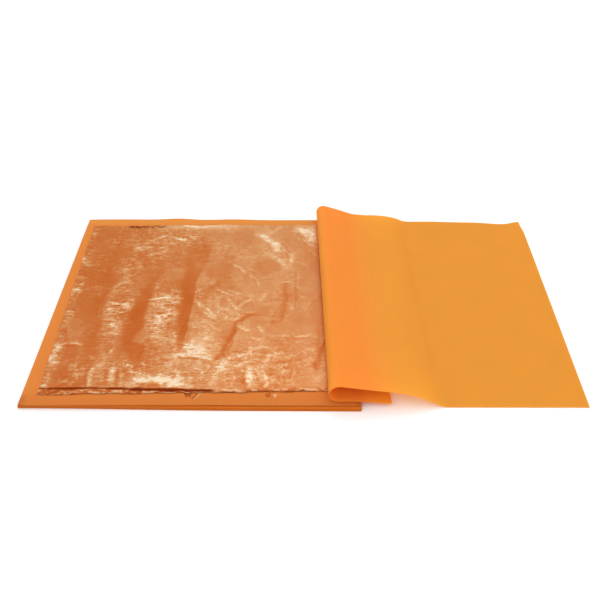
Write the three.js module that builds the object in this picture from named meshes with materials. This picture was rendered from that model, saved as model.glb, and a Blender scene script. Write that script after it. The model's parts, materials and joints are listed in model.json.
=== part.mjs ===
// Copper leaf booklet: twenty-five copper leaves between orange tissue sheets, stacked loose.
// The top tissue is folded back to the right: it curls over and comes down to the table.
// Millimetres, +X to the right, +Y away from the front edge, +Z up.
// The origin is at the bottom centre of the whole booklet's box.

import * as THREE from 'three';

// Sheets: how many, how large and how thick
const LEAF_COUNT = 25;
const LEAF_SIDE = 140;
const LEAF_THICKNESS = 0.02;
const SIDE_MARGIN = 8.5;
const END_MARGIN = 7;
const TISSUE_THICKNESS = 0.08;

// The slight disorder of a stack squared by hand: lengths in mm, turns in degrees
const LOWEST_TISSUE_TURN = -0.3;
const TISSUE_WANDER = 0.25;
const LEAF_WANDER = 1.2;
const LEAF_TURN = 0.5;
const WANDER_STEP = 2.4;
const TOP_LEAF_SHIFT = [-2.8, 0.4];
const TOP_LEAF_TURN = 1.1;

// The folded top tissue, with lengths along the sheet from its right edge, which stays on the stack.
// The crinkles of the leaf under it hold it up by the top clearance.
const TOP_CLEARANCE = 0.8;
const LIP_OVERHANG = 8.8;
const LIP_LENGTH = 23.8;
const LIP_SETBACK = 2.4;
const CREASE_TURN = 1.3;
const CREASE_GAP = 0.3;
const CURL_RADIUS = 5;
const CURL_CREASES = 3;
const UPPER_RAMP_LENGTH = 35;
const UPPER_RAMP_SLOPE = 8.5;
const LOWER_RAMP_SLOPE = 27.5;

// Surfaces: colour, roughness and metalness
const TISSUE_LOOK = { color: 0xeb973c, roughness: 0.7, metalness: 0 };
const LEAF_LOOK = { color: 0xd08048, roughness: 0.3, metalness: 1 };

const TISSUE_WIDTH = LEAF_SIDE + 2 * SIDE_MARGIN;
const TISSUE_DEPTH = LEAF_SIDE + 2 * END_MARGIN;
const PAIR_HEIGHT = TISSUE_THICKNESS + LEAF_THICKNESS;
const STACK_HEIGHT = LEAF_COUNT * PAIR_HEIGHT;

const radians = THREE.MathUtils.degToRad;
const twoDigits = (number) => String(number).padStart(2, '0');

// A flat sheet from its outline in X and Y, with its lower face at the given height
function sheetMesh(name, outline, thickness, bottom, look) {
  const shape = new THREE.Shape(outline.map(([x, y]) => new THREE.Vector2(x, y)));
  const geometry = new THREE.ExtrudeGeometry(shape, { depth: thickness, bevelEnabled: false });
  geometry.translate(0, 0, bottom);
  const mesh = new THREE.Mesh(geometry, new THREE.MeshStandardMaterial(look));
  mesh.name = name;
  return mesh;
}

function rectangle(width, depth) {
  const [x, y] = [width / 2, depth / 2];
  return [[-x, -y], [x, -y], [x, y], [-x, y]];
}

// A smooth, repeatable wander between -1 and 1 for one sheet, in one of several channels
function wander(sheet, channel) {
  return Math.sin(WANDER_STEP * sheet + channel);
}

// One whole tissue of the stack, numbered from the bottom: the lower it lies, the more it has turned
function stackTissue(number) {
  const name = `tissue_sheet_${twoDigits(number)}`;
  const outline = rectangle(TISSUE_WIDTH, TISSUE_DEPTH);
  const tissue = sheetMesh(name, outline, TISSUE_THICKNESS, 0, TISSUE_LOOK);
  const disorder = 1 - number / LEAF_COUNT;
  tissue.position.x = TISSUE_WANDER * disorder * wander(number, 0);
  tissue.position.y = TISSUE_WANDER * disorder * wander(number, 1);
  tissue.position.z = (number - 1) * PAIR_HEIGHT;
  tissue.rotation.z = radians(LOWEST_TISSUE_TURN) * disorder;
  return tissue;
}

// One copper leaf, lying on the tissue of the same number. The top one, laid bare, has its own place.
function copperLeaf(number) {
  const name = `copper_leaf_${twoDigits(number)}`;
  const leaf = sheetMesh(name, rectangle(LEAF_SIDE, LEAF_SIDE), LEAF_THICKNESS, 0, LEAF_LOOK);
  const shift = [LEAF_WANDER * wander(number, 2), LEAF_WANDER * wander(number, 3)];
  const turn = LEAF_TURN * wander(number, 4);
  const isTop = number === LEAF_COUNT;
  [leaf.position.x, leaf.position.y] = isTop ? TOP_LEAF_SHIFT : shift;
  leaf.position.z = (number - 1) * PAIR_HEIGHT + TISSUE_THICKNESS;
  leaf.rotation.z = radians(isTop ? TOP_LEAF_TURN : turn);
  return leaf;
}

// The strips of the top tissue in order from its right edge. Each starts at a crease, at a length
// along the sheet, where the sheet has bent by a fold angle. The curl's strips touch the curl's
// round, and the lower ramp is as long as it takes to come down to the table.
function topTissueStrips() {
  const fold = (180 + UPPER_RAMP_SLOPE) / CURL_CREASES;
  const curlStrip = 2 * CURL_RADIUS * Math.tan(radians(fold / 2));
  const strips = [{ name: 'lip', start: 0, fold: 0 }];
  let height = STACK_HEIGHT + TOP_CLEARANCE;
  for (let crease = 1; crease < CURL_CREASES; crease += 1) {
    const start = LIP_LENGTH + (crease - 1) * curlStrip;
    strips.push({ name: `curl_${crease}`, start, fold });
    height += curlStrip * Math.sin(radians(crease * fold));
  }
  const upperRamp = LIP_LENGTH + (CURL_CREASES - 1) * curlStrip;
  const lowerRamp = upperRamp + UPPER_RAMP_LENGTH;
  height -= UPPER_RAMP_LENGTH * Math.sin(radians(UPPER_RAMP_SLOPE));
  const flap = lowerRamp + height / Math.sin(radians(LOWER_RAMP_SLOPE));
  strips.push(
    { name: 'upper_ramp', start: upperRamp, fold },
    { name: 'lower_ramp', start: lowerRamp, fold: LOWER_RAMP_SLOPE - UPPER_RAMP_SLOPE },
    { name: 'flap', start: flap, fold: -LOWER_RAMP_SLOPE },
  );
  return strips;
}

// A point of the flat sheet seen along its creases: X is minus the length across the creases from
// the middle of the right edge, and Y runs along them. The sheet's edges stand at CREASE_TURN to them.
function acrossCreases(length, depth) {
  const turn = radians(CREASE_TURN);
  return [
    -length * Math.cos(turn) - depth * Math.sin(turn),
    depth * Math.cos(turn) - length * Math.sin(turn),
  ];
}

// Where the front or back edge of the sheet, at the given depth, meets a line along the creases
function edgePoint(across, depth) {
  const turn = radians(CREASE_TURN);
  return acrossCreases((across - depth * Math.sin(turn)) / Math.cos(turn), depth);
}

// One strip's outline with its own starting crease as the Y axis, drawn in by half a gap at creases
function stripOutline(start, end) {
  const [front, back] = [-TISSUE_DEPTH / 2, TISSUE_DEPTH / 2];
  const inset = CREASE_GAP / 2;
  const right = (depth) => (start === 0 ? acrossCreases(0, depth) : edgePoint(start + inset, depth));
  const left = (depth) => (end === null
    ? acrossCreases(TISSUE_WIDTH, depth)
    : edgePoint(end - inset, depth));
  const corners = [left(front), right(front), right(back), left(back)];
  return corners.map(([x, y]) => [x + start, y]);
}

// The top tissue: nested groups turn about the creases, so each strip carries the ones after it
function topTissue() {
  const strips = topTissueStrips();
  const base = new THREE.Group();
  base.position.set(
    TISSUE_WIDTH / 2 + LIP_OVERHANG,
    LIP_SETBACK,
    STACK_HEIGHT + TOP_CLEARANCE + TISSUE_THICKNESS / 2,
  );
  base.rotation.z = radians(CREASE_TURN);
  let carrier = base;
  strips.forEach(({ name, start, fold }, index) => {
    const next = strips[index + 1];
    const previous = strips[index - 1];
    const group = new THREE.Group();
    group.position.x = previous ? previous.start - start : 0;
    group.rotation.y = radians(fold);
    const outline = stripOutline(start, next ? next.start : null);
    const bottom = -TISSUE_THICKNESS / 2;
    group.add(sheetMesh(`top_tissue_${name}`, outline, TISSUE_THICKNESS, bottom, TISSUE_LOOK));
    carrier.add(group);
    carrier = group;
  });
  return base;
}

const stack = new THREE.Group();
for (let number = 1; number <= LEAF_COUNT; number += 1) {
  stack.add(stackTissue(number), copperLeaf(number));
}
stack.add(topTissue());

// The whole booklet, moved so that the bottom centre of its box is at the origin
const booklet = new THREE.Group();
booklet.add(stack);
const box = new THREE.Box3().setFromObject(booklet, true);
stack.position.x = -(box.min.x + box.max.x) / 2;
stack.position.y = -(box.min.y + box.max.y) / 2;
stack.position.z = -box.min.z;
booklet.updateMatrixWorld(true);

export default booklet;
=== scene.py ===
import json
import math

import bpy
import numpy as np
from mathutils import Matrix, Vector


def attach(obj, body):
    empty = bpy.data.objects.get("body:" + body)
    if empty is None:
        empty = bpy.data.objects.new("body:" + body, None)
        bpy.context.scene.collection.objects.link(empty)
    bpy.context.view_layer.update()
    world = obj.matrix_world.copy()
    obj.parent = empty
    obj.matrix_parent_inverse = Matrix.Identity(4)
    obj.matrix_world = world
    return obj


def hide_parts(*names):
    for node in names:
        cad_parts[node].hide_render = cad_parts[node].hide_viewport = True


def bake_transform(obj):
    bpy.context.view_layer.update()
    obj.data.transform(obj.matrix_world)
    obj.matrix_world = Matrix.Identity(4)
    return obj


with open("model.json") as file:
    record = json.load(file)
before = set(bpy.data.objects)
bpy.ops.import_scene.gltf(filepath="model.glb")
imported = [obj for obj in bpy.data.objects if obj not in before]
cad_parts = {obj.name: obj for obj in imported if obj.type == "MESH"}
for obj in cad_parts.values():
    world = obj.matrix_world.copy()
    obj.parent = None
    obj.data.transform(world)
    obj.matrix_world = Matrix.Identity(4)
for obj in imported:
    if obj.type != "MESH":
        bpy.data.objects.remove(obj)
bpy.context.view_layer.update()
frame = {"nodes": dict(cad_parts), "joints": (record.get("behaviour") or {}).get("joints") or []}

# Lengths are in millimetres, and become metres where a mesh, a light or the camera is made
MM = 0.001
STACK_SHEETS = 25
TOP_TISSUE_OF_STACK = f"tissue_sheet_{STACK_SHEETS:02d}"
TOP_LEAF = f"copper_leaf_{STACK_SHEETS:02d}"

# Tissue and leaf as they look; the solids of the frame are thicker, with the air between the sheets
TISSUE_THICKNESS = 0.05
STACK_TISSUE_THICKNESS = 0.078
LEAF_THICKNESS = 0.01
STACK_GRID = 44
TOP_LEAF_GRID = (220, 222)
TOP_TISSUE_STEP = 1.1
CURL_STEP = 0.5

# Where the stack bulges: X and Y from its centre, radius, share of the height there, and how far
# its sheets creep backwards
STACK_PUFFS = [(-24, 77, 10, 0.16, 0.9), (10, 77, 14, 0.10, 0.6), (-60, 77, 22, 0.05, 0.3),
               (9, -77, 15, 0.10, 0.0), (-62, -77, 22, -0.05, 0.0)]

# How far the sheets' front edges creep forward on the right, by their share of the stack's height
FRONT_CREEP = [(0, 1.0), (0.62, 0.5), (0.70, -0.5), (0.90, -0.4), (0.93, 0), (1, 0)]

# How much painted shade the edges of each tissue below the top one have, by its number, and how wide they
# are
EDGE_SHADE = [(1, 0.1), (2, 0.25), (16, 0.1), (20, 0.7), (24, 1.0)]
RIM_WIDTH = 1.2
# How much painted shade the top tissue of the stack has on its margins painted paler, at its front, and
# at its front rim, where its edge's shadow is painted
MARGIN_SHADE = 0.12
FRONT_SHADE = 0.13
FRONT_RIM_SHADE = 0.35
# How pale the leaves inside the stack are
HIDDEN_LEAF_TONE = 0.4

# The camera's place from the stack's centre on the table, and its angles in degrees
CAMERA_PLACE = (50.9, -319.5, 260.2)
CAMERA_PITCH = 38.949
CAMERA_YAW = 0.143
CAMERA_LENS = 46.2
CAMERA_SENSOR = 36
# The table: its side, and how far it lies below the frame's ground so that nothing shares its plane
TABLE_SIDE = 6000
TABLE_DROP = 0.03

# Colours, linear. Each tissue has one as it reflects and one as light shines through it, then a
# second pair of painted light: redder along the stack's edges, paler on the top page's back and
# left margins, and redder and brighter where the top tissue curls over its own layers, a painted
# glow of the light through them. Its share is how much of its look is light that shines through.
TOP_TISSUE_LOOK = {
    "face": (1.0, 0.59, 0.086),
    "painted_light": (1.0, 0.365, 0.048),
    "through": (1.0, 0.61, 0.13),
    "through_painted_light": (1.0, 0.41, 0.035),
    "share": 0.62,
}
STACK_TISSUE_LOOK = {
    "face": (0.79, 0.235, 0.039),
    "painted_light": (0.86, 0.235, 0.022),
    "through": (0.9, 0.25, 0.02),
    "through_painted_light": (0.9, 0.25, 0.02),
    "share": 0.2,
}
# The top page's second colours are paler painted light on its back and left margins
TOP_PAGE_LOOK = {**STACK_TISSUE_LOOK, "painted_light": (0.81, 0.285, 0.045)}
# The copper, from its smooth dark bands to the painted highlights on the crests of its wrinkles, and its
# painted shade
COPPER_TONES = [
    (0.0, (0.415, 0.080, 0.013, 1)),
    (0.2, (0.50, 0.120, 0.024, 1)),
    (0.36, (0.540, 0.162, 0.045, 1)),
    (0.52, (0.600, 0.262, 0.103, 1)),
    (0.68, (0.680, 0.370, 0.180, 1)),
    (1.0, (0.815, 0.640, 0.450, 1)),
]
# Painted shade in its creases, in the fold near its front edge and under that edge, and the dark colour
# of its torn back edge
COPPER_PAINTED_SHADE_AND_TORN = (0.17, 0.016, 0.001, 1)

# How fine the materials' patterns are, in patterns to the metre across, back and up
TISSUE_CLOUDS = (70, 55, 70)
TISSUE_FIBRES = (900, 4200, 900)
STREAKS = (420, 1300, 700)
SPECKS = (650, 800, 700)
LEAF_CLOUDS = (60, 40, 60)
PATCHES = (130, 95, 130)
FACETS = (105, 62, 105)
LONG_WAVES = (80, 290, 80)
SHORT_WAVES = (170, 230, 170)
SPLINTERS = (230, 190, 230)
SHARDS = (330, 330, 330)
# How wide the leaf's fine lines are, as a share of their pattern
BORDER_WIDTH = 0.07
SPLINTER_WIDTH = 0.10
DASH_WIDTH = 0.04
SLANT_WIDTH = 0.03
FOLD_WIDTH = 0.2
# How much paler the leaf is on them, as painted glints
BORDER_PALER = 0.16
SPLINTER_PALER = 0.24
SPLINTER_PALER_IN_GRAIN = 0.06
DASH_PALER = 0.38
SLANT_PALER = 0.20
SHARD_PALER = 0.24
# How high its long and short folds stand, next to its fine grain
LONG_FOLD_RELIEF = 0.5
SHORT_FOLD_RELIEF = 0.3


# Reading the frame

def node_points(node):
    """The vertices of a CAD node, in millimetres."""
    mesh = frame["nodes"][node].data
    flat = np.zeros(len(mesh.vertices) * 3, np.float32)
    mesh.vertices.foreach_get("co", flat)
    return flat.reshape(-1, 3).astype(float) / MM


def flat_corners(node):
    """Front left, front right, back right and back left corner of a flat sheet, at mid thickness."""
    points = node_points(node)
    x, y, z = points.T
    picks = [np.argmin(x + y), np.argmax(x - y), np.argmax(x + y), np.argmin(x - y)]
    middle = (z.min() + z.max()) / 2
    return np.array([[x[i], y[i], middle] for i in picks])


def joint(name):
    return next(j for j in frame["joints"] if j["name"] == name)


STACK_CENTRE = flat_corners(TOP_TISSUE_OF_STACK).mean(0) * (1, 1, 0)
STACK_HEIGHT = node_points(TOP_LEAF)[:, 2].max()


# Patterns

def smooth_noise(x, y, seed):
    """Soft random hills between -1 and 1, about one to each unit of x and y."""
    size = 97
    lattice = np.random.RandomState(seed).uniform(-1, 1, (size, size))
    column, row = np.floor(x).astype(int), np.floor(y).astype(int)
    u, v = x - column, y - row
    u, v = u * u * (3 - 2 * u), v * v * (3 - 2 * v)

    def at(right, back):
        return lattice[(column + right) % size, (row + back) % size]

    front = at(0, 0) * (1 - u) + at(1, 0) * u
    return front * (1 - v) + (at(0, 1) * (1 - u) + at(1, 1) * u) * v


def ridges(x, y, seed):
    """Sharp crests between 0 and 1, where soft hills pass through their middle height."""
    return 1 - np.abs(smooth_noise(x, y, seed))


def ease(value, low, high):
    """Rises smoothly from 0 at low to 1 at high."""
    t = np.clip((value - low) / (high - low), 0, 1)
    return t * t * (3 - 2 * t)


# Meshes

def sheet_points(corners, columns, rows):
    """Evenly spaced points of a flat sheet: rows from front to back, columns from left to right."""
    u = np.linspace(0, 1, columns + 1)[None, :, None]
    v = np.linspace(0, 1, rows + 1)[:, None, None]
    front = corners[0] * (1 - u) + corners[1] * u
    back = corners[3] * (1 - u) + corners[2] * u
    return front * (1 - v) + back * v


def surface_normals(points):
    normals = np.cross(np.gradient(points, axis=1), np.gradient(points, axis=0))
    return normals / np.linalg.norm(normals, axis=2, keepdims=True)


def sheet_faces(rows, columns):
    """Faces of a closed thin sheet, whose upper points come first: upper, lower and edge faces."""
    index = np.arange(rows * columns).reshape(rows, columns)
    quads = [index[:-1, :-1], index[:-1, 1:], index[1:, 1:], index[1:, :-1]]
    upper = np.stack([q.ravel() for q in quads], 1)
    lower = upper[:, ::-1] + rows * columns
    border = np.concatenate([index[0, :-1], index[:-1, -1], index[-1, :0:-1], index[:0:-1, 0]])
    after = np.roll(border, -1)
    edge = np.stack([border, border + rows * columns, after + rows * columns, after], 1)
    return upper, lower, edge


def sheet_object(name, points, thickness, material, normals=None, attributes=None):
    """A closed thin sheet round a grid of points. Given normals also shade it smoothly at its cuts."""
    shading = surface_normals(points) if normals is None else normals
    rows, columns = points.shape[:2]
    offset = shading * thickness / 2
    vertices = np.concatenate([(points + offset).reshape(-1, 3), (points - offset).reshape(-1, 3)])
    upper, lower, edge = sheet_faces(rows, columns)
    mesh = bpy.data.meshes.new(name)
    mesh.from_pydata(vertices * MM, [], np.concatenate([upper, lower, edge]))
    mesh.polygons.foreach_set("use_smooth", np.ones(len(mesh.polygons), bool))
    if normals is None:
        mesh.set_sharp_from_angle(angle=math.radians(70))
    else:
        flat = shading.reshape(-1, 3)
        corner = vertices[edge]
        outward = np.cross(corner[:, 1] - corner[:, 0], corner[:, 3] - corner[:, 0])
        outward /= np.linalg.norm(outward, axis=1, keepdims=True)
        loops = [flat[upper].reshape(-1, 3), -flat[lower - rows * columns].reshape(-1, 3)]
        loops.append(np.repeat(outward, 4, axis=0))
        mesh.normals_split_custom_set(np.concatenate(loops))
    for label, values in (attributes or {}).items():
        layer = mesh.attributes.new(label, "FLOAT", "POINT")
        layer.data.foreach_set("value", np.tile(values.ravel(), 2).astype(np.float32))
    mesh.materials.append(material)
    piece = bpy.data.objects.new(name, mesh)
    bpy.context.scene.collection.objects.link(piece)
    return piece


# Materials

def new_material(name):
    material = bpy.data.materials.new(name)
    material.use_nodes = True
    tree = material.node_tree
    tree.nodes.clear()
    return material, tree


def add(tree, kind, inputs=None, **settings):
    """A shader node with its settings, and its inputs as values or as sockets to link from."""
    node = tree.nodes.new(kind)
    for key, value in settings.items():
        setattr(node, key, value)
    for key, value in (inputs or {}).items():
        if isinstance(value, bpy.types.NodeSocket):
            tree.links.new(value, node.inputs[key])
        else:
            node.inputs[key].default_value = value
    return node


def stretched(tree, scale):
    """Object coordinates times a scale for each axis, in patterns to the metre."""
    place = add(tree, "ShaderNodeTexCoord")
    return add(tree, "ShaderNodeMapping", {"Vector": place.outputs["Object"], "Scale": scale}).outputs[0]


def noise(tree, scale, detail=3, roughness=0.55):
    return add(tree, "ShaderNodeTexNoise",
               {"Vector": stretched(tree, scale), "Scale": 1, "Detail": detail,
                "Roughness": roughness}).outputs["Fac"]


def mixed(tree, share, first, second, blend="MIX"):
    node = add(tree, "ShaderNodeMix", data_type="RGBA", blend_type=blend)
    for socket, value in zip((node.inputs[0], node.inputs[6], node.inputs[7]), (share, first, second)):
        if isinstance(value, bpy.types.NodeSocket):
            tree.links.new(value, socket)
        else:
            socket.default_value = value
    return node.outputs[2]


def ranged(tree, value, low, high, to_low=0.0, to_high=1.0):
    return add(tree, "ShaderNodeMapRange",
               {0: value, 1: low, 2: high, 3: to_low, 4: to_high}).outputs[0]


def attribute(tree, name):
    return add(tree, "ShaderNodeAttribute", attribute_name=name).outputs["Fac"]


def tissue_material(name, face, painted_light, through, through_painted_light, share):
    """Thin dyed tissue: faint clouds and fibres, a dull gloss, and light that comes through. It takes
    a second pair of colours, painted light, where less light comes through it, and a painted shade
    that darkens it, from its two attributes."""
    material, tree = new_material(name)
    painted_lit = attribute(tree, "painted_light")
    clouds = ranged(tree, noise(tree, TISSUE_CLOUDS, 4), 0.3, 0.7, 0.985, 1.01)
    clouds = product(tree, clouds, ranged(tree, attribute(tree, "shade"), 0, 1, 1.0, 0.4))
    outside = mixed(tree, painted_lit, (*face, 1), (*painted_light, 1))
    inside = mixed(tree, painted_lit, (*through, 1), (*through_painted_light, 1))
    tints = [add(tree, "ShaderNodeVectorMath", {0: colour, "Scale": clouds}, operation="SCALE").outputs[0]
             for colour in (outside, inside)]
    fibres = noise(tree, TISSUE_FIBRES, 2)
    bump = add(tree, "ShaderNodeBump", {"Height": fibres, "Strength": 0.08, "Distance": 0.00004})
    body = add(tree, "ShaderNodeBsdfPrincipled",
               {"Base Color": tints[0], "Roughness": 0.6, "Specular IOR Level": 0.15,
                "Normal": bump.outputs[0]})
    light = add(tree, "ShaderNodeBsdfTranslucent", {"Color": tints[1], "Normal": bump.outputs[0]})
    thin = ranged(tree, painted_lit, 0, 1, share, 0.6 * share)
    mix = add(tree, "ShaderNodeMixShader", {0: thin, 1: body.outputs[0], 2: light.outputs[0]})
    add(tree, "ShaderNodeOutputMaterial", {"Surface": mix.outputs[0]})
    return material


def crest_lines(tree, pattern, width):
    """Thin lines where a soft pattern passes through its middle value."""
    away = add(tree, "ShaderNodeMath", {0: pattern, 1: 0.5}, operation="SUBTRACT").outputs[0]
    away = add(tree, "ShaderNodeMath", {0: away}, operation="ABSOLUTE").outputs[0]
    return ranged(tree, away, 0.0, width, 1.0, 0.0)


def total_of(tree, *values):
    total = values[0]
    for value in values[1:]:
        total = add(tree, "ShaderNodeMath", {0: total, 1: value}, operation="ADD").outputs[0]
    return total


def product(tree, first, second):
    return add(tree, "ShaderNodeMath", {0: first, 1: second}, operation="MULTIPLY").outputs[0]


def crumpled_cells(tree, scale, feature, bent=0.55):
    """Cells with straight sides, a little bent, like the facets of crumpled foil."""
    place = stretched(tree, scale)
    bend = add(tree, "ShaderNodeTexNoise", {"Vector": place, "Scale": 1.6, "Detail": 2}).outputs["Color"]
    bend = add(tree, "ShaderNodeVectorMath", {0: bend, "Scale": bent}, operation="SCALE").outputs[0]
    place = add(tree, "ShaderNodeVectorMath", {0: place, 1: bend}, operation="ADD").outputs[0]
    return add(tree, "ShaderNodeTexVoronoi", {"Vector": place, "Scale": 1.0}, feature=feature)


def cell_tones(tree, scale, bent=0.55):
    """One random value between 0 and 1 for each crumpled cell."""
    colour = crumpled_cells(tree, scale, "F1", bent).outputs["Color"]
    return add(tree, "ShaderNodeSeparateColor", {0: colour}).outputs[0]


def cell_borders(tree, scale, width, bent=0.55):
    """Thin lines between crumpled cells."""
    distance = crumpled_cells(tree, scale, "DISTANCE_TO_EDGE", bent).outputs["Distance"]
    return ranged(tree, distance, 0.0, width, 1.0, 0.0)


def foil_lines(tree, grain, fine, long_waves, short_waves):
    """How much lighter a crumpled foil's fine lines make it, as painted glints: the borders of its
    facets, the crests of its waves, and small splinters and shards."""
    patches = ranged(tree, noise(tree, PATCHES, 2), 0.42, 0.58)
    border = product(tree, cell_borders(tree, FACETS, BORDER_WIDTH), patches)
    dashes = product(tree, product(tree, crest_lines(tree, long_waves, DASH_WIDTH), patches), grain)
    slants = crest_lines(tree, short_waves, SLANT_WIDTH)
    splinter = product(tree, cell_borders(tree, SPLINTERS, SPLINTER_WIDTH, 1.2), patches)
    splinter = product(tree, splinter, ranged(tree, grain, 0, 1, SPLINTER_PALER, SPLINTER_PALER_IN_GRAIN))
    shard = cell_tones(tree, SHARDS, 1.6)
    pale_shards = product(tree, ranged(tree, shard, 0.70, 0.90, 0.0, SHARD_PALER), patches)
    dark_shards = ranged(tree, shard, 0.0, 0.3, -0.06, 0.0)
    return total_of(tree, product(tree, dashes, DASH_PALER), product(tree, slants, SLANT_PALER),
                    product(tree, border, BORDER_PALER), splinter, pale_shards, dark_shards,
                    ranged(tree, fine, 0.3, 0.7, -0.10, 0.03))


def copper_material(name):
    """Beaten copper leaf: from deep copper in smooth bands to painted highlights on the crests of its
    wrinkles, with the facets of crumpled foil and painted glints on its fine crests. Its tone,
    wrinkling, painted shade and dark torn edge, and the direction of its grain come from attributes."""
    material, tree = new_material(name)
    wrinkled, grain = attribute(tree, "wrinkled"), attribute(tree, "grain")
    fine = total_of(tree, product(tree, noise(tree, STREAKS, 4, 0.6), grain),
                    product(tree, noise(tree, SPECKS, 4, 0.6), ranged(tree, grain, 0, 1, 1, 0)))
    long_waves, short_waves = noise(tree, LONG_WAVES, 2, 0.5), noise(tree, SHORT_WAVES, 2, 0.5)
    lines = foil_lines(tree, grain, fine, long_waves, short_waves)
    facet = ranged(tree, cell_tones(tree, FACETS), 0, 1, -0.045, 0.035)
    clouds = ranged(tree, noise(tree, LEAF_CLOUDS, 3), 0.3, 0.7, -0.03, 0.03)
    total = total_of(tree, product(tree, lines, wrinkled), facet, clouds, attribute(tree, "tone"))
    ramp = add(tree, "ShaderNodeValToRGB", {"Fac": total})
    stops = ramp.color_ramp.elements
    stops[0].position, stops[0].color = COPPER_TONES[0]
    stops[1].position, stops[1].color = COPPER_TONES[-1]
    for position, colour in COPPER_TONES[1:-1]:
        stops.new(position).color = colour
    colour = mixed(tree, attribute(tree, "painted_shade_and_torn"), ramp.outputs["Color"], COPPER_PAINTED_SHADE_AND_TORN)
    long_folds = product(tree, crest_lines(tree, long_waves, FOLD_WIDTH),
                         product(tree, grain, LONG_FOLD_RELIEF))
    short_folds = product(tree, crest_lines(tree, short_waves, FOLD_WIDTH), SHORT_FOLD_RELIEF)
    relief = total_of(tree, fine, long_folds, short_folds)
    depth = ranged(tree, wrinkled, 0, 1, 0.15, 0.9)
    bump = add(tree, "ShaderNodeBump", {"Height": relief, "Strength": depth, "Distance": 0.00025})
    body = add(tree, "ShaderNodeBsdfPrincipled",
               {"Base Color": colour, "Metallic": 1.0,
                "Roughness": ranged(tree, fine, 0.3, 0.7, 0.34, 0.46), "Coat Weight": 0.02,
                "Coat Roughness": 0.22, "Specular Tint": (1.0, 0.75, 0.5, 1),
                "Normal": bump.outputs[0], "Coat Normal": bump.outputs[0]})
    add(tree, "ShaderNodeOutputMaterial", {"Surface": body.outputs[0]})
    return material


STACK_TISSUE = tissue_material("stack_tissue", **STACK_TISSUE_LOOK)
TOP_PAGE = tissue_material("top_page", **TOP_PAGE_LOOK)
TOP_TISSUE = tissue_material("top_tissue", **TOP_TISSUE_LOOK)
COPPER = copper_material("copper_leaf")


# The stack

def bedded(points):
    """The sheets lie in each other's waves, which grow with height above the table."""
    x, y = points[..., 0] - STACK_CENTRE[0], points[..., 1] - STACK_CENTRE[1]
    share = 0.035 * np.sin(x / 17 + 0.6) * np.sin(y / 24 + 1.1) + 0.03 * np.sin(x / 41 - y / 33)
    creep = np.zeros(x.shape)
    for px, py, radius, height, backwards in STACK_PUFFS:
        near = np.exp(-((x - px) ** 2 + (y - py) ** 2) / radius ** 2)
        share = share + height * near
        creep = creep + backwards * near
    settled = points.copy()
    level = np.clip(points[..., 2] / STACK_HEIGHT, 0, 1)
    settled[..., 1] += creep * level
    forward = np.interp(level, *zip(*FRONT_CREEP)) * ease(x, -75, 20) * ease(-y, 50, 77)
    settled[..., 1] -= forward
    settled[..., 2] *= 1 + share
    return settled


def top_page_looks(points, rim):
    """The top tissue of the stack has painted light on its back and left margins, and painted shade at
    its front, with a painted shadow along its front rim.
    """
    x, y = points[..., 0] - STACK_CENTRE[0], points[..., 1] - STACK_CENTRE[1]
    back, left, front = ease(y, 69, 74), ease(-x, 71, 78), ease(-y, 68, 72)
    painted_lighter = np.maximum(back, 0.5 * left * (1 - front))
    front_rim = rim * (front > 0.5)
    shade = MARGIN_SHADE * painted_lighter + FRONT_SHADE * front + FRONT_RIM_SHADE * front_rim
    return {"painted_light": painted_lighter, "shade": shade}


def tissue_looks(number, points):
    """A stacked tissue has painted light and painted shade along its edges, all but the top one."""
    side, end = np.abs(points[..., 0] - STACK_CENTRE[0]), np.abs(points[..., 1] - STACK_CENTRE[1])
    rim = np.maximum(ease(side, side.max() - RIM_WIDTH, side.max()),
                     ease(end, end.max() - RIM_WIDTH, end.max()))
    if number == STACK_SHEETS:
        return top_page_looks(points, rim)
    return {"painted_light": rim, "shade": rim * np.interp(number, *zip(*EDGE_SHADE))}


def stack_piece(node, points, thickness, material, looks):
    """A sheet of the stack in place of its solid."""
    piece = sheet_object(f"{node}_sheet", points, thickness, material, attributes=looks)
    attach(piece, node)
    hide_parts(node)


def stack_points(node):
    return bedded(sheet_points(flat_corners(node), STACK_GRID, STACK_GRID))


for number in range(1, STACK_SHEETS + 1):
    tissue, leaf = f"tissue_sheet_{number:02d}", f"copper_leaf_{number:02d}"
    page = TOP_PAGE if number == STACK_SHEETS else STACK_TISSUE
    page_points = stack_points(tissue)
    stack_piece(tissue, page_points, STACK_TISSUE_THICKNESS, page,
                tissue_looks(number, page_points))
    if number < STACK_SHEETS:
        leaf_points = stack_points(leaf)
        stack_piece(leaf, leaf_points, LEAF_THICKNESS, COPPER,
                    {"tone": np.full(leaf_points.shape[:2], HIDDEN_LEAF_TONE)})


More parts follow.
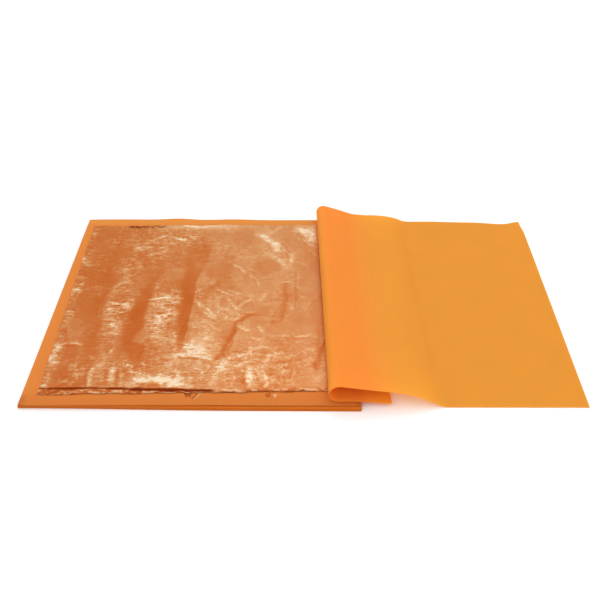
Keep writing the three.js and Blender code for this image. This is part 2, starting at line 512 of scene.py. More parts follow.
# The top leaf, laid bare. Its places are in millimetres from its centre, right and back.
# Smooth darker bands run from back to front. Each has rows of its place from the centre and of its
# left and right side there, how softly these sides fade, and how much darker it is.
BANDS = [
    ([(52, -12, 2), (40, -11.5, 2), (25.5, -11.5, -1.5), (14, -11, -4), (3, -10.5, -3.5),
      (-7.5, -10.5, -4.5), (-17.5, -10.5, -4.5), (-27.5, -9.5, -5), (-34.5, -8.5, -5.5),
      (-40.5, -7.5, -6)], 2.6, 0.5, 0.27),
    ([(41, -26.5, -23), (33.5, -27, -22.5), (25.8, -28, -22.5), (14.5, -30.5, -25.5),
      (3.5, -33, -26.5), (-7, -36, -27.5), (-17.2, -37, -28), (-24.2, -37.5, -27.5),
      (-28.5, -37.5, -31), (-34, -36.5, -31.5), (-36.5, -35.5, -24.5), (-41.5, -33, -24.5),
      (-46, -30.5, -24.5), (-56, -28, -24)], 2.0, 0.9, 0.20),
    ([(57.8, -50, -42), (45.5, -51, -43), (28, -55.5, -48), (14.8, -56.5, -49), (-6.8, -56.5, -50.5),
      (-17, -55.5, -50), (-28.5, -54, -48.5), (-39.5, -52, -47.5), (-50.5, -50, -46)], 4.0, 1.4, 0.09),
    ([(-25, 61.5, 65), (-34, 60.5, 63.5), (-43, 59, 61.5), (-51.5, 57.5, 59.5)], 1.0, 0.6, 0.13),
    ([(12, 44, 46.5), (-2, 44, 46.5), (-17, 42, 44.5)], 1.2, 0.5, 0.13),
    ([(24.5, 50, 51.5), (6.5, 50.5, 51.5), (-10.5, 49.5, 50.5)], 0.8, 0.4, 0.10),
    ([(-15.8, 23.5, 27.5), (-23, 18, 22), (-29.5, 16.5, 19), (-37, 15.5, 18.5), (-44.5, 12.5, 16),
      (-51.5, 9.5, 13), (-58, 7.5, 10.5), (-66.5, 3.5, 7)], 3.0, 0.4, 0.06),
]
# Narrow creases: line, half width, depth, and how dark their painted shade is
CREASES = [
    ([(30, -13), (25.5, -15), (20, -20.5), (17.5, -29.5), (15, -38.5), (11, -47.5), (7, -58)],
     1.3, 0.22, 0.19),
    ([(66, -33), (61.5, -46), (58.5, -57)], 1.0, 0.20, 0.26),
]
# Crests: line, half width, height, and how pale their painted highlight is
CRESTS = [
    ([(29, 61), (34, 57), (37.5, 51.5), (41, 42)], 2.0, 0.20, 0.66),
    ([(36, 39), (40, 34), (45, 27)], 1.8, 0.18, 0.30),
    ([(46.5, 49), (49, 39), (48, 28.5)], 1.2, 0.12, 0.10),
    ([(53, 65.5), (58.5, 62.5), (62, 54)], 3.2, 0.20, 0.58),
    ([(-33, 54.5), (-26.5, 58.5), (-21, 58.5), (-11.5, 52)], 0.8, 0.16, 0.42),
    ([(-30.5, 69), (-21, 59.5)], 0.7, 0.12, 0.30),
    ([(-42.5, 49), (-33.5, 52.5)], 0.9, 0.12, 0.32),
    ([(-20, 60.5), (-15.5, 65.5)], 0.8, 0.12, 0.30),
    ([(-34, 38.5), (-27, 42), (-23, 46)], 1.1, 0.14, 0.26),
    ([(-49, 7.5), (-44, 13.5), (-40, 14.5)], 0.9, 0.12, 0.34),
    ([(-46.5, -4), (-40, -4)], 0.7, 0.14, 0.58),
    ([(-43.5, 4.5), (-38, 8)], 0.7, 0.10, 0.30),
    ([(-48.5, -13), (-38, -10.5)], 0.6, 0.10, 0.36),
    ([(-48.5, -17.5), (-40.5, -16.5)], 0.5, 0.10, 0.34),
    ([(-47.5, -21), (-42.5, -21)], 0.5, 0.10, 0.30),
    ([(-42, -41.5), (-39, -37)], 0.7, 0.10, 0.34),
    ([(-28, -1), (-19, -0.4), (-10, -1)], 0.6, 0.14, 0.52),
    ([(-20.5, -8.5), (-11, -11)], 0.7, 0.10, 0.26),
    ([(-27.5, -17.5), (-19, -22)], 0.8, 0.10, 0.30),
    ([(-23, -29), (-7.5, -35.5)], 0.9, 0.10, 0.22),
    ([(-13, -45.5), (-2.5, -44), (9.5, -46.5)], 0.9, 0.16, 0.62),
    ([(-4, -38), (1, -40.5), (7, -44)], 3.0, 0.14, 0.52),
    ([(-30, -66), (-19, -60.5), (0, -64.5)], 2.2, 0.18, 0.50),
    ([(-24, -62.5), (-10, -62)], 1.2, 0.14, 0.36),
    ([(-46.5, -52), (-48, -64.5)], 1.1, 0.14, 0.44),
    ([(-38, -52.5), (-38, -63.5)], 1.2, 0.14, 0.46),
    ([(-34, -56), (-33, -64)], 1.4, 0.12, 0.34),
    ([(26.5, -54.5), (28.5, -66.5)], 1.4, 0.14, 0.52),
    ([(35, -58.5), (36.5, -66.5)], 1.3, 0.14, 0.48),
    ([(42, -62), (43.5, -67)], 1.0, 0.12, 0.34),
    ([(-71, -34), (-66, -35.5), (-58, -34.5), (-55, -37)], 0.8, 0.14, 0.40),
    ([(-62, -62), (-57, -60)], 0.8, 0.10, 0.30),
    ([(7.5, 6.5), (16.5, 1)], 0.7, 0.10, 0.34),
    ([(15.5, 5), (22, 2)], 0.6, 0.10, 0.34),
    ([(11, 1.5), (18.5, -7), (26.5, -13), (31, -14)], 0.8, 0.12, 0.32),
    ([(19.5, -8), (24.5, -3), (27, -0.5)], 0.6, 0.10, 0.26),
    ([(-4, -2.5), (3, -7), (9, -16)], 0.9, 0.12, 0.30),
    ([(8.5, -6.5), (16, -11.5)], 0.6, 0.10, 0.22),
    ([(14, 30), (20.5, 26.5), (22.5, 21)], 0.8, 0.12, 0.34),
    ([(23.5, 28), (31, 21.5)], 0.5, 0.10, 0.24),
    ([(22.5, 21), (28.5, 18), (32, 9.5)], 0.6, 0.10, 0.24),
    ([(42, 47.5), (47.5, 39), (48, 31)], 1, 0.12, 0.26),
    ([(56, 54), (61.5, 47)], 0.7, 0.10, 0.30),
    ([(57.5, 43.5), (62.5, 38.5)], 0.6, 0.10, 0.26),
    ([(51.5, 32.5), (56, 29)], 0.8, 0.10, 0.26),
    ([(33, 17), (38, 18)], 0.5, 0.10, 0.26),
    ([(43, 12.5), (47, 13)], 0.5, 0.10, 0.32),
    ([(52, 2), (56.5, -1)], 0.5, 0.10, 0.22),
    ([(-18.5, 71), (-6, 68), (11.5, 71.5)], 1.2, 0.10, 0.24),
    ([(20.5, -22.5), (26, -27.5)], 0.9, 0.12, 0.34),
    ([(30.5, -23), (34, -28.5)], 0.9, 0.12, 0.30),
    ([(27.5, -32.5), (34, -35)], 0.8, 0.10, 0.22),
    ([(44, -31), (47.5, -31.5)], 0.9, 0.10, 0.34),
    ([(50.5, -32), (57, -30.5)], 0.8, 0.10, 0.34),
    ([(27, -41), (33.5, -40), (37.5, -40.5)], 0.7, 0.08, 0.20),
    ([(38.5, -41), (44, -45)], 0.6, 0.08, 0.26),
    ([(10.5, -51.5), (15.5, -52.5)], 1.1, 0.12, 0.50),
    ([(19, -47), (26.5, -43.5)], 0.8, 0.10, 0.26),
    ([(-1, -52.5), (4.5, -57), (8.5, -53.5)], 0.7, 0.10, 0.26),
    ([(31.5, -56.5), (33.5, -62)], 0.8, 0.10, 0.32),
    ([(44, -57.5), (44.5, -65.5)], 0.6, 0.08, 0.22),
    ([(49, -56), (49.5, -65)], 0.6, 0.08, 0.22),
    ([(14, -59), (18.5, -56)], 0.7, 0.08, 0.24),
    ([(1.5, -11), (8.5, -17)], 0.8, 0.10, 0.26),
    ([(3.5, -19), (10.5, -26.5)], 0.8, 0.10, 0.26),
]
# Finely wrinkled places: centre, half sizes, how wrinkled, and how much paler their painted highlight
# makes them
WRINKLED = [
    (-42, -8, 7, 20, 0.8, 0.05), (-18, -18, 10, 24, 0.9, 0.08), (10, -14, 14, 20, 0.30, 0.04),
    (-5, -54, 62, 8, 0.8, 0.06), (-12, -62, 24, 5, 0.6, 0.10), (30, -50, 22, 12, 0.55, 0.02),
    (-24, 55, 18, 9, 0.6, 0.06), (-4, 68.5, 26, 3, 0.5, 0.32), (40, 44, 10, 14, 0.45, 0.06),
    (59, 58, 9, 10, 0.7, 0.12), (-33, 42, 12, 12, 0.55, 0.03), (24, -50, 16, 12, 0.25, -0.01),
    (46, -34, 14, 6, 0.35, 0.01), (14, 10, 12, 14, 0.2, -0.01), (42, 2, 12, 26, 0.2, 0.04),
    (42, -52, 16, 12, 0.15, 0.0), (-6, -48, 26, 8, 0.4, 0.05),
    (-69, 8, 3.5, 60, 0.9, 0.10), (2, -38, 9, 9, 0.5, 0.18), (-68, -40, 3, 20, 0.8, 0.14),
]
# The fold near the front edge: its line, where it ends on the right, and how wide its painted shadow is
HEM = [(-70, -65.6), (-41.5, -66.2), (-13.5, -67.6), (12, -68.8)]
HEM_END = 14
HEM_SHADOW = [(-70, 0.45), (-40, 0.5), (-25, 1.0), (12, 0.9)]
# The leaf is calmer where it is smooth, but never without any wrinkles
SMOOTH_CALM = 3.4
LEAST_WRINKLED = 0.06
# Over this stretch, from its middle to the right, its grain turns from streaks across it into specks
GRAIN_TURNS = (0, 20)
# A crest has painted shade beside it, at this distance from its own width, and more if it is narrow
SHADE_APART = 0.5
NARROW_CREST = 1.5
NARROW_SHADE = 0.32
WIDE_SHADE = 0.08
# How far its front edge stands up on the right, and how deep the fold near it is on the left
FRONT_RISE = 0.45
HEM_DEPTH = 0.30
# Where its back edge is torn and dark, from left to right, and how dark it is there
TORN_BACK = (-50, -25)
TORN_DARK = 0.85
# How high the leaf's crumples may stand: the top tissue, laid back over it, has to clear them
RELIEF_LIMIT = 0.38
RELIEF_SOFTNESS = 1.4
# Over this stretch right of its middle, the folded tissue presses them down to half
UNDER_FOLD = (48, 60)
# Torn scraps that lie on the tissue at the leaf's front edge, as outlines on the stack
SCRAPS = [
    [(4.1, -69.3), (4.6, -69.5), (1.8, -74.5), (1.4, -74.2)],
    [(2.6, -69.5), (3.1, -69.5), (0.8, -73.4), (0.4, -73.1)],
    [(-3.6, -69.4), (0.2, -69.4), (-0.3, -72.2), (-1.2, -71.2), (-2.0, -72.5)],
    [(37.5, -70.3), (39.9, -70.1), (38.9, -72.9)],
    [(34.0, -69.6), (36.6, -69.4), (36.4, -71.4), (34.8, -71.9)],
]
# How high the scraps lie above the tissue, about how much higher their free ends stand, and how
# pale each is
SCRAP_REST = 0.05
SCRAP_RISE = 0.12
SCRAP_TONES = [0.05, 0.6, 0.1, 0.0, 0.65]
# Their points lie on rings round their middle, at these shares of the outline
SCRAP_RINGS = (0.02, 0.5, 1)


def line_distance(u, v, points):
    """Distance from each place to a line, and how far along it, from 0 to 1, its nearest place is."""
    best = np.full(u.shape, 1e9)
    along = np.zeros(u.shape)
    steps = len(points) - 1
    for step, ((x0, y0), (x1, y1)) in enumerate(zip(points, points[1:])):
        length = (x1 - x0) ** 2 + (y1 - y0) ** 2
        t = np.clip(((u - x0) * (x1 - x0) + (v - y0) * (y1 - y0)) / length, 0, 1)
        distance = np.hypot(u - x0 - t * (x1 - x0), v - y0 - t * (y1 - y0))
        nearer = distance < best
        best = np.where(nearer, distance, best)
        along = np.where(nearer, (step + t) / steps, along)
    return best, along


def stroke(u, v, points, width):
    """1 on a line and 0 beside it, fading towards the line's ends."""
    distance, along = line_distance(u, v, points)
    taper = ease(along, -0.05, 0.25) * ease(-along, -1.05, -0.75)
    return np.exp(-(distance / width) ** 2) * (0.35 + 0.65 * taper)


def band(u, v, rows, left, right):
    """1 between the two sides of a band that runs from back to front, fading across each side."""
    places, left_side, right_side = np.array(sorted(rows)).T
    inside = ease(u - np.interp(v, places, left_side), -left, left)
    inside = inside * ease(np.interp(v, places, right_side) - u, -right, right)
    return inside * ease(v, places[0] - 4, places[0] + 3) * ease(-v, -places[-1] - 6, -places[-1] + 8)


def leaf_ground(u, v, bent_u, bent_v):
    """The leaf before its bands and lines: its height, its tone and how finely it is wrinkled."""
    height = 0.16 * smooth_noise(u / 33, v / 52, 1) + 0.06 * smooth_noise(u / 13, v / 26, 2)
    # Paler to the right, partly the leaf's own tint and partly painted light
    tone = 0.33 + 0.06 * ease(u, -54, -44) + 0.10 * ease(u, -20, 20)
    tone = tone + 0.04 * smooth_noise(u / 21, v / 30, 7)
    tone = tone + 0.03 * smooth_noise(bent_u / 6, bent_v / 9, 8)
    wrinkled = 0.26 - 0.12 * ease(u, 10, 35) + 0.22 * smooth_noise(u / 13, v / 9, 3)
    for x, y, half_width, half_depth, amount, painted_lighter in WRINKLED:
        spot = np.exp(-((u - x) / half_width) ** 2 - ((v - y) / half_depth) ** 2)
        wrinkled = wrinkled + spot * amount
        tone = tone + painted_lighter * spot
    return height, tone, wrinkled


def smooth_bands(u, v):
    """How much darker the smooth bands are: less towards the back."""
    smooth = np.zeros(u.shape)
    strength = (0.85 + 0.25 * smooth_noise(u / 8, v / 12, 26)) * (1 - 0.7 * ease(v, 4, 30))
    strayed = u + 0.5 * smooth_noise(u / 9, v / 5, 25)
    for rows, left, right, darker in BANDS:
        smooth = np.maximum(smooth, band(strayed, v, rows, left, right) * darker * strength)
    return smooth


def fine_ridges(u, v, bent_u, bent_v, grain):
    """Height and tone that the fine ridges add: long ones across the leaf, short and slanting ones.
    Their tone is painted highlight on the crests and painted shade in the troughs.
    """
    long_ridges = ridges(bent_u / 7.5, v / 1.55 + u / 40, 4) * (0.5 + 0.5 * grain)
    short_ridges = ridges(bent_u / 3.0, bent_v / 1.15, 5)
    slant_ridges = ridges((u + v) / 2.2, (v - 0.6 * u) / 5.5, 6)
    broken = ease(smooth_noise(u / 3.4, v / 1.9, 9), -0.35, 0.45)
    crests = 0.55 * ease(long_ridges, 0.84, 1.0) * broken + 0.34 * ease(short_ridges, 0.82, 1.0)
    crests = crests + 0.22 * ease(slant_ridges, 0.86, 1.0)
    troughs = ease(-long_ridges, -0.45, -0.15) + 0.5 * ease(-short_ridges, -0.45, -0.15)
    height = 0.10 * long_ridges + 0.05 * short_ridges + 0.05 * slant_ridges
    return height, 0.34 * crests - 0.09 * troughs


def drawn_lines(u, v, bent_u, bent_v):
    """Height and tone that the creases and the crests add: painted shade in the creases, and painted
    highlights on the crests, broken into flecks, with painted shade beside them.
    """
    height, tone = np.zeros(u.shape), np.zeros(u.shape)
    for points, width, depth, darker in CREASES:
        share = stroke(bent_u, bent_v, points, width)
        height = height - depth * share
        tone = tone - darker * share
    shining = 0.35 + 0.65 * ease(smooth_noise(u / 1.9, v / 0.9, 14), -0.4, 0.5)
    for points, width, lift, painted_lighter in CRESTS:
        share = stroke(bent_u, bent_v, points, width)
        height = height + lift * share
        (x0, y0), (x1, y1) = points[0], points[-1]
        apart = width + SHADE_APART
        right, back = (0, apart) if abs(x1 - x0) > abs(y1 - y0) else (apart, 0)
        shaded = NARROW_SHADE if width < NARROW_CREST else WIDE_SHADE
        shade = stroke(bent_u + right, bent_v + back, points, width)
        tone = tone + painted_lighter * (share * shining - shaded * shade)
    return height, tone


def leaf_edges(u, v):
    """Height and tone that the leaf's edges add, and their painted shade and dark torn colour: the fold
    near the front edge on the left in painted shade, with painted highlights and shade on the strip
    below it, the fringe right of it flecked with painted highlights, a painted shadow along the
    front rim, and the dark torn back edge."""
    half = u.max()
    hem = ease(-u, -HEM_END, -HEM_END + 5)
    line = np.interp(u[0], *zip(*HEM))[None, :]
    width = np.interp(u[0], *zip(*HEM_SHADOW))[None, :]
    width = width * (1 + 0.35 * smooth_noise(u / 4, v / 50, 11))
    groove = ease(-np.abs(v - line) / width, -1.35, -0.6) * hem
    below = ease(line - v, 0.3, 1.0) * hem
    flecks = ease(smooth_noise(u / 1.3, v / 0.8 + u / 6, 15), -0.5, 0.5)
    fringe = ease(-v, half - 3.4, half - 1.2) * ease(u, HEM_END - 4, HEM_END + 4)
    tone = fringe * (0.50 * flecks - 0.22) + below * (0.62 * flecks - 0.34) - 0.2 * groove
    height = FRONT_RISE * ease(-v, half - 3.5, half) * ease(u, 5, 18) - HEM_DEPTH * groove
    broken = ease(u, 8, 16) * ease(smooth_noise(u / 6, v / 50, 12), -0.5, 0.1)
    rim = ease(-v, half - 0.9, half - 0.3) * (0.55 + 0.45 * broken)
    left, right = TORN_BACK
    torn = ease(v, half - 3.4, half - 1.8) * ease(u, left, left + 3) * ease(-u, -right, -right + 4)
    torn = TORN_DARK * torn * ease(smooth_noise(u / 1.9, (v + 0.3 * u) / 0.8, 13), -0.3, 0.05)
    return height, tone, np.maximum(groove, np.maximum(rim, torn))


def top_leaf_surface(u, v):
    """The crumpled leaf's height above its tissue, and the attributes of its look."""
    bent_u = u + 1.2 * smooth_noise(u / 7, v / 7, 21) + 0.5 * smooth_noise(u / 2.3, v / 2.3, 23)
    bent_v = v + 1.2 * smooth_noise(u / 7, v / 7, 22) + 0.4 * smooth_noise(u / 2.3, v / 2.3, 24)
    grain = 1 - 0.85 * ease(u, *GRAIN_TURNS)
    height, tone, wrinkled = leaf_ground(u, v, bent_u, bent_v)
    smooth = smooth_bands(u, v)
    wrinkled = np.clip(wrinkled * (1 - SMOOTH_CALM * smooth), LEAST_WRINKLED, 1)
    ridge_height, ridge_tone = fine_ridges(u, v, bent_u, bent_v, grain)
    line_height, line_tone = drawn_lines(u, v, bent_u, bent_v)
    edge_height, edge_tone, painted_shade_and_torn = leaf_edges(u, v)
    height = height + wrinkled * ridge_height + line_height + edge_height
    tone = tone - smooth + wrinkled * ridge_tone + line_tone + edge_tone
    looks = {"tone": np.clip(tone, 0, 1), "wrinkled": wrinkled, "painted_shade_and_torn": np.clip(painted_shade_and_torn, 0, 1),
             "grain": grain}
    return height, looks


def ragged(u, v, half):
    """Draws the leaf's edges in and out by some tenths of a millimetre."""
    side, end = ease(np.abs(u), half - 6, half), ease(np.abs(v), half - 6, half)
    push = 0.35 * smooth_noise(v / 3.1, u / 40, 31) + 0.25 * smooth_noise(v / 0.9, u / 40, 32)
    pull = 0.35 * smooth_noise(u / 4.2, v / 40, 33) + 0.20 * smooth_noise(u / 1.4, v / 40, 34)
    return side * push * np.sign(u), end * pull * np.sign(v)


def top_leaf():
    """The bare leaf, crumpled and ragged, in place of its solid."""
    corners = flat_corners(TOP_LEAF)
    points = sheet_points(corners, *TOP_LEAF_GRID)
    right, back = corners[1] - corners[0], corners[3] - corners[0]
    side = np.linalg.norm(right)
    right, back = right / side, back / side
    middle = corners.mean(0)
    u, v = (points - middle) @ right, (points - middle) @ back
    height, looks = top_leaf_surface(u, v)
    push, pull = ragged(u, v, side / 2)
    points = bedded(points + push[..., None] * right + pull[..., None] * back)
    lifted = RELIEF_LIMIT * np.tanh((height - height.min()) / RELIEF_LIMIT / RELIEF_SOFTNESS)
    under_fold = ease(u, *UNDER_FOLD)
    points[..., 2] += LEAF_THICKNESS + lifted * (1 - 0.5 * under_fold)
    stack_piece(TOP_LEAF, points, LEAF_THICKNESS, COPPER, looks)


top_leaf()


def scrap(number, outline):
    """A flake of leaf torn off at the front edge: one end lies on the tissue, the other stands up."""
    corners = np.array(outline) + STACK_CENTRE[:2]
    middle = corners.mean(0)
    ring = np.concatenate([corners, corners[:1]])
    points = np.array([middle + (ring - middle) * share for share in SCRAP_RINGS])
    away = np.linalg.norm(points - corners[0], axis=2)
    curl = (away / away.max()) ** 2 * (1 + 0.4 * np.sin(3 * away + number))
    height = SCRAP_REST + SCRAP_RISE * curl
    places = np.dstack([points, np.full(away.shape, STACK_HEIGHT)])
    places = bedded(places) + np.dstack([np.zeros(points.shape), height])
    tone = np.broadcast_to(SCRAP_TONES[number % len(SCRAP_TONES)], away.shape)
    looks = {"tone": tone, "wrinkled": np.full(away.shape, 0.4)}
    piece = sheet_object(f"torn_scrap_{number}", places, LEAF_THICKNESS, COPPER, attributes=looks)
    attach(piece, TOP_LEAF)


for scrap_number, scrap_outline in enumerate(SCRAPS, 1):
    scrap(scrap_number, scrap_outline)


# The top tissue, folded back. It is one smooth sheet, cut midway between its hinges into pieces
# that each take in its bend round one hinge.
STRIPS = ["lip", "curl_1", "curl_2", "upper_ramp", "lower_ramp", "flap"]
HINGES = ["top_tissue_unfold", "curl_2_unfold", "upper_ramp_unfold", "lower_ramp_unfold", "flap_unfold"]
# The first hinges, which bend over their whole arcs in the curl
CURL_HINGES = 3
# How far from a hinge the sheet starts to bend where the ramp breaks and where it meets the table
RAMP_FILLET = 8
TABLE_FILLET = 2.6
# How fine the sheet's line is worked out, and how far it goes on before the sheet's right edge
PROFILE_STEP = 0.02
LEAD_IN = 5.0
# How far the sheet's small waves draw in its left edge, at the front and at the back
DRAWN_IN = (1.9, 0.0)
# How far the lip droops at its right edge, and over which width past the stack
LIP_DROOP = 1.0
LIP_DROOP_WIDTH = 14
# How far the lip's front corner strays right and back, and how deep that corner is
LIP_STRAY = (1.6, -1.3)
LIP_STRAY_DEPTH = 25
# The back corner of the part on the table: its width and depth, how far it lifts and is drawn in
LIFTED_CORNER = (12, 14)
CORNER_LIFT = 0.3
CORNER_PULL = 1.2
# How much painted shade darkens the part on the table
FLAP_SHADE = 0.055
# How far along the sheet, past the curl, it still lies over its own layers and takes painted light
LAYERED_LENGTH = 21
# How much lower the back edge lies than the front edge, by distance right of the stack's centre
BACK_SAG = [(61.5, 0.8), (65, 1.5), (71.7, 2.7), (81.5, 4.8), (90, 4.4), (98, 2.6), (108, 0.1),
            (114, -0.1), (130, -0.1), (150, 0)]
# How far the back edge strays backwards from straight, by the same distance, and how deep it is
BACK_WANDER = [(100, 0.2), (112, 0.8), (128, 0.8), (145, 0.1), (158, -0.2), (171, -1.9), (178, -1.5),
               (184, 0.2)]
BACK_WANDER_DEPTH = 22
# How far apart, in length and depth, two points are that show how the sheet slopes
SLOPE_STEP = 0.05

LIP_CORNERS = flat_corners("top_tissue_lip")
ALONG = -np.array(joint(HINGES[0])["axis"])
ACROSS = np.array([ALONG[1], -ALONG[0], 0])
SHEET_START = (LIP_CORNERS[1] + LIP_CORNERS[2]) / 2
SHEET_DEPTH = np.linalg.norm(LIP_CORNERS[2] - LIP_CORNERS[1])
STACK_CORNERS = flat_corners(TOP_TISSUE_OF_STACK)
SHEET_WIDTH = np.linalg.norm(STACK_CORNERS[1] - STACK_CORNERS[0])
EDGE = (LIP_CORNERS[2] - LIP_CORNERS[1]) / SHEET_DEPTH
SHEET_TURN = math.atan2(EDGE @ ACROSS, EDGE @ ALONG)
LIP_LENGTH = np.linalg.norm(np.array(joint(HINGES[0])["pos_m"]) / MM - SHEET_START)


def hinge_places():
    """Each hinge as (distance right of the sheet's start, height), and its fold, in radians."""
    places, folds = [], []
    for name in HINGES:
        j = joint(name)
        place = np.array(j["pos_m"]) / MM
        places.append(np.array([(place - SHEET_START) @ ACROSS, place[2]]))
        upward = 1 if np.dot(j["axis"], ALONG) < 0 else -1
        folds.append(upward * math.radians(j["range_deg"][1]))
    return places, folds


def smooth_profile():
    """The sheet's line seen along its creases, as places at even steps of length, with the length
    at each hinge's middle and at each cut. Straight stretches join arcs that round the hinges."""
    places, folds = hinge_places()
    start = np.array([0, SHEET_START[2]])
    spans = [np.linalg.norm(b - a) for a, b in zip([start, *places], places)]
    tangents = [spans[1] / 2, spans[1] / 2, spans[2] / 2, RAMP_FILLET, TABLE_FILLET]
    pieces, middles, cuts, done = [], [], [], 0.0
    for i, (span, tangent, fold) in enumerate(zip(spans, tangents, folds)):
        straight = span - tangent - (tangents[i - 1] if i else 0)
        if i:
            cuts.append(done + straight / 2)
        arc = tangent / math.tan(abs(fold) / 2) * abs(fold)
        pieces += [(straight, 0.0), (arc, fold / arc)]
        middles.append(done + straight + arc / 2)
        done += straight + arc
    pieces.append((SHEET_WIDTH * 1.1 - done, 0.0))
    bends = [np.full(max(0, round(length / PROFILE_STEP)), bend) for length, bend in pieces]
    heading = np.concatenate([[0], np.cumsum(np.concatenate(bends)) * PROFILE_STEP])
    middle = (heading[1:] + heading[:-1]) / 2
    right = np.concatenate([[0], np.cumsum(-np.cos(middle)) * PROFILE_STEP])
    height = np.concatenate([[0], np.cumsum(np.sin(middle)) * PROFILE_STEP]) + SHEET_START[2]
    lengths = np.arange(len(right)) * PROFILE_STEP
    return (np.concatenate([[-LEAD_IN], lengths]), np.concatenate([[LEAD_IN], right]),
            np.concatenate([[SHEET_START[2]], height]), middles, cuts)


LENGTHS, PROFILE_RIGHT, PROFILE_HEIGHT, HINGE_LENGTHS, CUT_LENGTHS = smooth_profile()
CURL_END = HINGE_LENGTHS[2] + LAYERED_LENGTH


def sheet_surface(length, depth):
    """Points of the folded sheet. Length runs across the creases from the sheet's right edge and
    depth along that edge, from its middle towards the back."""
    half = SHEET_DEPTH / 2
    along = (depth + length * math.sin(SHEET_TURN)) / math.cos(SHEET_TURN)
    right = np.interp(length, LENGTHS, PROFILE_RIGHT)
    height = np.interp(length, LENGTHS, PROFILE_HEIGHT)
    points = SHEET_START * (1, 1, 0) + right[..., None] * ACROSS + along[..., None] * ALONG
    from_stack = points[..., 0] - STACK_CENTRE[0]
    on_top = ease(length, HINGE_LENGTHS[0] + 2, HINGE_LENGTHS[1] + 3)
    sag = np.interp(from_stack, *zip(*BACK_SAG))
    height = height - sag * ease(depth / SHEET_DEPTH + 0.5, -0.15, 1.05) * on_top
    stray = np.interp(from_stack, *zip(*BACK_WANDER), left=0)
    points[..., 1] += stray * ease(depth, half - BACK_WANDER_DEPTH, half) * on_top
    lip = ease(-length, -LIP_LENGTH * 0.8, 0)
    corner = lip * ease(-depth, half - LIP_STRAY_DEPTH, half)
    points[..., :2] += corner[..., None] * LIP_STRAY
    overhang = ease(from_stack, SHEET_WIDTH / 2, SHEET_WIDTH / 2 + LIP_DROOP_WIDTH)
    points[..., 2] = height - LIP_DROOP * overhang * lip
    return points


def flap_life(points, length, depth):
    """The part on the table lies in faint waves, and its back right corner lifts a little."""
    x, y = points[..., 0] - STACK_CENTRE[0], points[..., 1] - STACK_CENTRE[1]
    free = ease(length, HINGE_LENGTHS[4], HINGE_LENGTHS[4] + 25)
    waves = 0.03 * (1 + np.sin(x / 11 + y / 60)) + 0.025 * (1 + np.sin(y / 19 - x / 45))
    corner_width, corner_depth = LIFTED_CORNER
    corner = ease(length, SHEET_WIDTH - corner_width, SHEET_WIDTH)
    corner = corner * ease(depth, SHEET_DEPTH / 2 - corner_depth, SHEET_DEPTH / 2)
    points[..., 2] += free * waves + CORNER_LIFT * corner
    points[..., 0] -= CORNER_PULL * corner
    points[..., 2] = np.maximum(points[..., 2], TISSUE_THICKNESS)
    return points


def fold_points(length, depth):
    """Points of the finished sheet, and its normals there."""
    def at(more_length, more_depth):
        place = (length + more_length, depth + more_depth)
        return flap_life(sheet_surface(*place), *place)

    slope = at(SLOPE_STEP, 0) - at(-SLOPE_STEP, 0)
    back = at(0, SLOPE_STEP) - at(0, -SLOPE_STEP)
    normals = np.cross(back, slope)
    return at(0, 0), normals / np.linalg.norm(normals, axis=2, keepdims=True)


def fold_lengths(index, depth):
    """Lengths of the points between two cuts, a row for each depth. The sheet's right and left edges
    slant to its creases."""
    slant = -depth * math.sin(SHEET_TURN)
    drawn_in = np.interp(depth / SHEET_DEPTH, (-0.5, 0.5), DRAWN_IN)
    left_edge = SHEET_WIDTH * math.cos(SHEET_TURN) + slant - drawn_in
    first, last = [slant, *CUT_LENGTHS][index], [*CUT_LENGTHS, left_edge][index]
    ends = [0.0, *CUT_LENGTHS, SHEET_WIDTH]
    step = CURL_STEP if index < CURL_HINGES else TOP_TISSUE_STEP
    share = np.linspace(0, 1, round((ends[index + 1] - ends[index]) / step) + 1)
    first, last = (np.broadcast_to(side, depth.shape)[:, None] for side in (first, last))
    return first * (1 - share) + last * share


def painted_light_by_length():
    """How strongly the tissue takes its painted light, a glow of light through its own layers, by
    length: least on the curl's left side, and most where it runs back over the lip."""
    return [(0, 0.3), (6, 0.35), (12, 0.75), (LIP_LENGTH, 0.6),
            (HINGE_LENGTHS[1], 0.3), (HINGE_LENGTHS[1] + 3, 0.35), (HINGE_LENGTHS[2] + 2, 1),
            (CURL_END - 6, 1), (CURL_END + 2, 0.4), (CURL_END + 12, 0)]


def top_tissue():
    """The folded sheet, in pieces that each take in its bend round one hinge."""
    rows = round(SHEET_DEPTH / TOP_TISSUE_STEP)
    depth = np.linspace(-SHEET_DEPTH / 2, SHEET_DEPTH / 2, rows + 1)
    for i, middle in enumerate(HINGE_LENGTHS):
        length = fold_lengths(i, depth)[:, ::-1]
        points, normals = fold_points(length, np.broadcast_to(depth[:, None], length.shape))
        # Painted shade on the part on the table, and painted light by length where the sheet lies over
        # its own layers
        shade = FLAP_SHADE * ease(length, HINGE_LENGTHS[3], HINGE_LENGTHS[4] + 6)
        looks = {"painted_light": np.interp(length, *zip(*painted_light_by_length())), "shade": shade}
        piece = sheet_object(f"top_tissue_fold_{i + 1}", points, TISSUE_THICKNESS, TOP_TISSUE,
                             normals, looks)
        before, after = f"top_tissue_{STRIPS[i]}", f"top_tissue_{STRIPS[i + 1]}"
        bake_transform(piece)
        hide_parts(before, *([after] if i == len(HINGES) - 1 else []))


top_tissue()


# Room, lights and camera

def stage_plane(name, size, height, material):
    half = size / 2
    corners = np.array([(-half, -half, height), (half, -half, height), (half, half, height),
                        (-half, half, height)])
    mesh = bpy.data.meshes.new(name)
    mesh.from_pydata(corners * MM, [], [(0, 1, 2, 3)])
    mesh.materials.append(material)
    plane = bpy.data.objects.new(name, mesh)
    bpy.context.scene.collection.objects.link(plane)


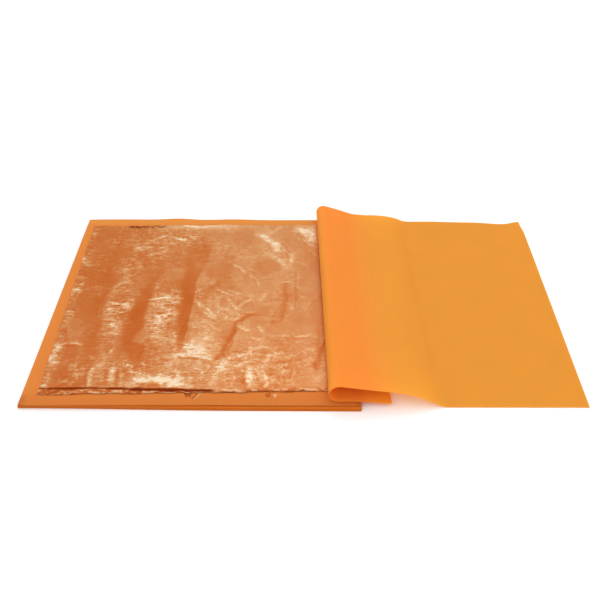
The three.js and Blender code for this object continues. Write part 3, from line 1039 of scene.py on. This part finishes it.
def floor_material():
    """A white table that shows as white to the camera and still takes shadows."""
    material, tree = new_material("white_table")
    path = add(tree, "ShaderNodeLightPath")
    seen = mixed(tree, path.outputs["Is Camera Ray"], (0.85, 0.85, 0.85, 1), (1, 1, 1, 1))
    matt = add(tree, "ShaderNodeBsdfDiffuse", {"Color": seen})
    add(tree, "ShaderNodeOutputMaterial", {"Surface": matt.outputs[0]})
    return material


def studio_world():
    """Soft light, brighter from above than from the horizon, a little more so from the left, and
    brighter again low in front. The camera itself sees plain white."""
    world = bpy.data.worlds.new("studio")
    bpy.context.scene.world = world
    world.use_nodes = True
    tree = world.node_tree
    tree.nodes.clear()
    direction = add(tree, "ShaderNodeTexCoord").outputs["Generated"]
    parts = add(tree, "ShaderNodeSeparateXYZ", {0: direction})
    high = ranged(tree, parts.outputs["Z"], 0.2, 0.9, 0.84, 1.24)
    side = ranged(tree, parts.outputs["X"], -0.8, 0.8, 1.03, 1.0)
    ahead = ranged(tree, parts.outputs["Y"], -0.85, -0.25, 1.0, 0.0)
    low = product(tree, ahead, ranged(tree, parts.outputs["Z"], 0.3, 0.6, 0.5, 0.0))
    level = product(tree, product(tree, high, side), total_of(tree, low, 1.0))
    room = add(tree, "ShaderNodeBackground", {"Color": (1, 1, 1, 1), "Strength": level})
    white = add(tree, "ShaderNodeBackground", {"Color": (1, 1, 1, 1), "Strength": 1.0})
    path = add(tree, "ShaderNodeLightPath")
    seen = add(tree, "ShaderNodeMixShader",
               {0: path.outputs["Is Camera Ray"], 1: room.outputs[0], 2: white.outputs[0]})
    add(tree, "ShaderNodeOutputWorld", {"Surface": seen.outputs[0]})


def area_light(name, place, target, size, watts):
    data = bpy.data.lights.new(name, "AREA")
    data.shape = "RECTANGLE"
    data.size, data.size_y = size[0] * MM, size[1] * MM
    data.energy = watts
    lamp = bpy.data.objects.new(name, data)
    bpy.context.scene.collection.objects.link(lamp)
    lamp.location = Vector(place) * MM
    lamp.rotation_euler = (Vector(target) - Vector(place)).to_track_quat("-Z", "Y").to_euler()


def camera():
    data = bpy.data.cameras.new("photo_camera")
    data.lens, data.sensor_width = CAMERA_LENS, CAMERA_SENSOR
    data.clip_start, data.clip_end = 0.01, 10
    eye = bpy.data.objects.new("photo_camera", data)
    bpy.context.scene.collection.objects.link(eye)
    eye.location = (STACK_CENTRE + np.array(CAMERA_PLACE)) * MM
    eye.rotation_euler = (math.radians(90 - CAMERA_PITCH), 0, math.radians(CAMERA_YAW))
    bpy.context.scene.camera = eye


stage_plane("table", TABLE_SIDE, -TABLE_DROP, floor_material())
studio_world()
area_light("softbox_behind", (60, 400, 700), (0, 0, 0), (360, 240), 0.3)
camera()
bpy.context.scene.view_settings.view_transform = "Standard"
